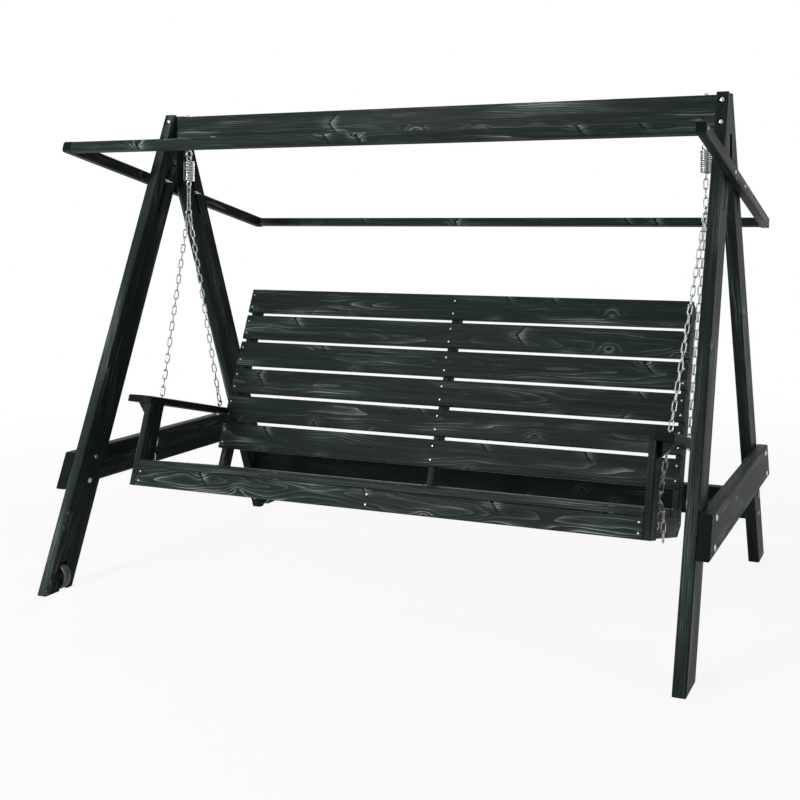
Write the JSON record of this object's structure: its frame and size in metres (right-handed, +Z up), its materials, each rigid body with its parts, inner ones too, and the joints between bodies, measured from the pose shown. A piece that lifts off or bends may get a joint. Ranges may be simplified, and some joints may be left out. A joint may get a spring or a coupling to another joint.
{
  "type": "garden swing",
  "caption": "Slatted garden swing bench hung on chains and springs from a wooden A-frame stand with a tilting canopy frame and two transport wheels.",
  "frame": {"origin": "on the ground, in the middle under the ridge beam", "axes": "+X along the ridge beam to the right as seen from the front, +Y to the rear, +Z up; the bench faces -Y"},
  "size_m": [2.643, 1.4, 1.902],
  "materials": {
    "stained_pine": "black-green transparent stain on planed pine",
    "galvanised_steel": "zinc plated",
    "spring_steel": "zinc plated",
    "wheel_plastic": "matt moulded"
  },
  "bodies": {
    "stand": {"hanger_eyes": "galvanised_steel", "leg_front_left": "stained_pine", "leg_front_right": "stained_pine", "leg_rear_left": "stained_pine", "leg_rear_right": "stained_pine", "rear_tie": "stained_pine", "ridge_beam": "stained_pine", "ridge_bolts": "galvanised_steel", "side_stretcher_left": "stained_pine", "side_stretcher_right": "stained_pine", "stand_nuts": "galvanised_steel", "stretcher_bolts": "galvanised_steel", "tie_screws": "galvanised_steel", "wheel_axles": "galvanised_steel"},
    "wheel_front": {"wheel_front": "wheel_plastic"},
    "wheel_rear": {"wheel_rear": "wheel_plastic"},
    "canopy_carrier": {"canopy_front_bolts": "galvanised_steel", "canopy_front_wing_nuts": "galvanised_steel"},
    "canopy": {"canopy_arm_left": "stained_pine", "canopy_arm_right": "stained_pine", "canopy_front_rail": "stained_pine", "canopy_rear_bolts": "galvanised_steel", "canopy_rear_rail": "stained_pine", "canopy_rear_wing_nuts": "galvanised_steel", "canopy_screws": "galvanised_steel"},
    "hanger": {"spring_left": "spring_steel", "spring_right": "spring_steel"},
    "bench": {"apron": "stained_pine", "arm_bracket_left": "stained_pine", "arm_bracket_right": "stained_pine", "arm_post_left": "stained_pine", "arm_post_right": "stained_pine", "armrest_left": "stained_pine", "armrest_right": "stained_pine", "back_slat_1": "stained_pine", "back_slat_2": "stained_pine", "back_slat_3": "stained_pine", "back_slat_4": "stained_pine", "back_slat_5": "stained_pine", "back_slat_6": "stained_pine", "back_support_left": "stained_pine", "back_support_middle": "stained_pine", "back_support_right": "stained_pine", "bench_nuts": "galvanised_steel", "chain_front_left": "galvanised_steel", "chain_front_right": "galvanised_steel", "chain_rear_left": "galvanised_steel", "chain_rear_right": "galvanised_steel", "chain_top_left": "galvanised_steel", "chain_top_right": "galvanised_steel", "front_eye_bolts": "galvanised_steel", "joining_rings": "galvanised_steel", "rear_eye_bolts": "galvanised_steel", "seat_rail_left": "stained_pine", "seat_rail_middle": "stained_pine", "seat_rail_right": "stained_pine", "seat_slat_1": "stained_pine", "seat_slat_2": "stained_pine", "seat_slat_3": "stained_pine", "seat_slat_4": "stained_pine"}
  },
  "joints": [
    {"name": "wheel_front_spin", "type": "hinge", "parent": "stand", "child": "wheel_front", "pos_m": [-1.2475, -0.61886, 0.051], "axis": [0, 1, 0], "continuous": true},
    {"name": "wheel_rear_spin", "type": "hinge", "parent": "stand", "child": "wheel_rear", "pos_m": [-1.2475, 0.61886, 0.051], "axis": [0, 1, 0], "continuous": true},
    {"name": "canopy_slide", "type": "slide", "parent": "stand", "child": "canopy_carrier", "axis": [0, -0.327, -0.945], "range_m": [-0.0276, 0.0276]},
    {"name": "canopy_tilt", "type": "hinge", "parent": "canopy_carrier", "child": "canopy", "pos_m": [0, -0.08163, 1.60344], "axis": [1, 0, 0], "range_deg": [-9.5, 9.5]},
    {"name": "swing", "type": "hinge", "parent": "stand", "child": "hanger", "pos_m": [0, 0, 1.7193], "axis": [1, 0, 0], "range_deg": [-20, 20]},
    {"name": "bob", "type": "slide", "parent": "hanger", "child": "bench", "axis": [0, 0, 1], "range_m": [-0.065, 0.01], "stiffness_N_per_m": 33000, "springref_m": 0.01391, "deforming": ["spring_left", "spring_right"]}
  ],
  "couplings": [
    {"joint": "canopy_slide", "follows": "canopy_tilt", "m_per_rad": 0.16538}
  ]
}
